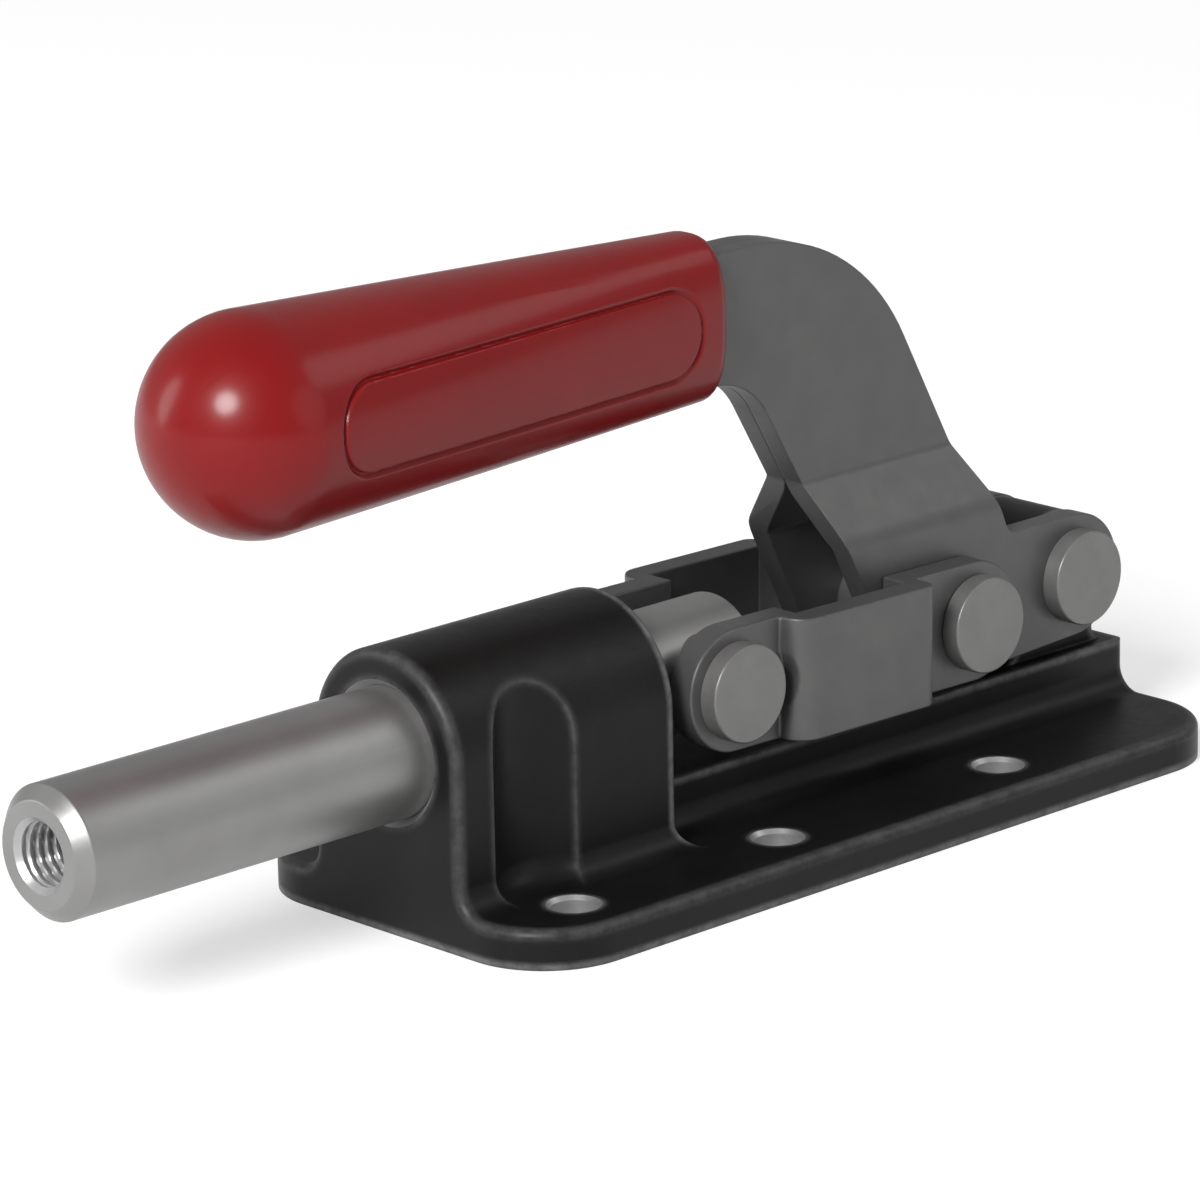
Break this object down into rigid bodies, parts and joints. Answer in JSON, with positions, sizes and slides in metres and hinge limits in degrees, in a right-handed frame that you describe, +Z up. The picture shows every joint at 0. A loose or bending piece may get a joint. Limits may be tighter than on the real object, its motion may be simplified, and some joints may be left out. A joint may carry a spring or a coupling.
{
  "type": "push-pull toggle clamp",
  "caption": "Heavy push-pull toggle clamp: cast base, guided round plunger, over-centre link and handle plates, red grip.",
  "frame": {"origin": "underside of the base, at the centre of its four outer bolt holes", "axes": "+X the way the plunger pushes, +Z up from the mounting face, +Y the clamp's left side"},
  "size_m": [0.2737, 0.0846, 0.1244],
  "materials": {
    "black_casting": "satin black coating over a fine cast skin",
    "ground_steel": "ground and plated, satin",
    "link_steel": "forged and plated, satin",
    "plate_steel": "stamped and plated, satin",
    "pin_steel": "turned and plated",
    "bush_steel": "hardened and ground",
    "red_grip": "glossy moulded vinyl"
  },
  "bodies": {
    "base": {"base": "black_casting", "rear_bush": "bush_steel"},
    "handle": {"handle_plate_left": "plate_steel", "handle_plate_right": "plate_steel", "grip": "red_grip", "handle_rivet_front": "pin_steel", "handle_rivet_rear": "pin_steel", "rear_pin": "pin_steel", "middle_pin": "pin_steel", "middle_sleeve": "bush_steel"},
    "link": {"link_left": "link_steel", "link_right": "link_steel", "link_bush_left": "bush_steel", "link_bush_right": "bush_steel", "front_pin_end_left": "pin_steel", "front_pin_end_right": "pin_steel"},
    "plunger": {"plunger": "ground_steel", "plunger_bush": "bush_steel", "front_pin": "pin_steel"}
  },
  "joints": [
    {"name": "handle_swing", "type": "hinge", "parent": "base", "child": "handle", "pos_m": [-0.0983, 0, 0.035], "axis": [0, -1, 0], "range_deg": [0, 120]},
    {"name": "link_swing", "type": "hinge", "parent": "handle", "child": "link", "pos_m": [-0.06211, 0, 0.0341], "axis": [0, 1, 0], "range_deg": [0, 149.15]},
    {"name": "plunger_slide", "type": "slide", "parent": "base", "child": "plunger", "axis": [-1, 0, 0], "range_m": [0, 0.06154]}
  ],
  "couplings": [
    {"joint": "link_swing", "follows": "handle_swing", "ratio": 1.2429},
    {"joint": "plunger_slide", "follows": "handle_swing", "m_per_rad": 0.02938}
  ]
}
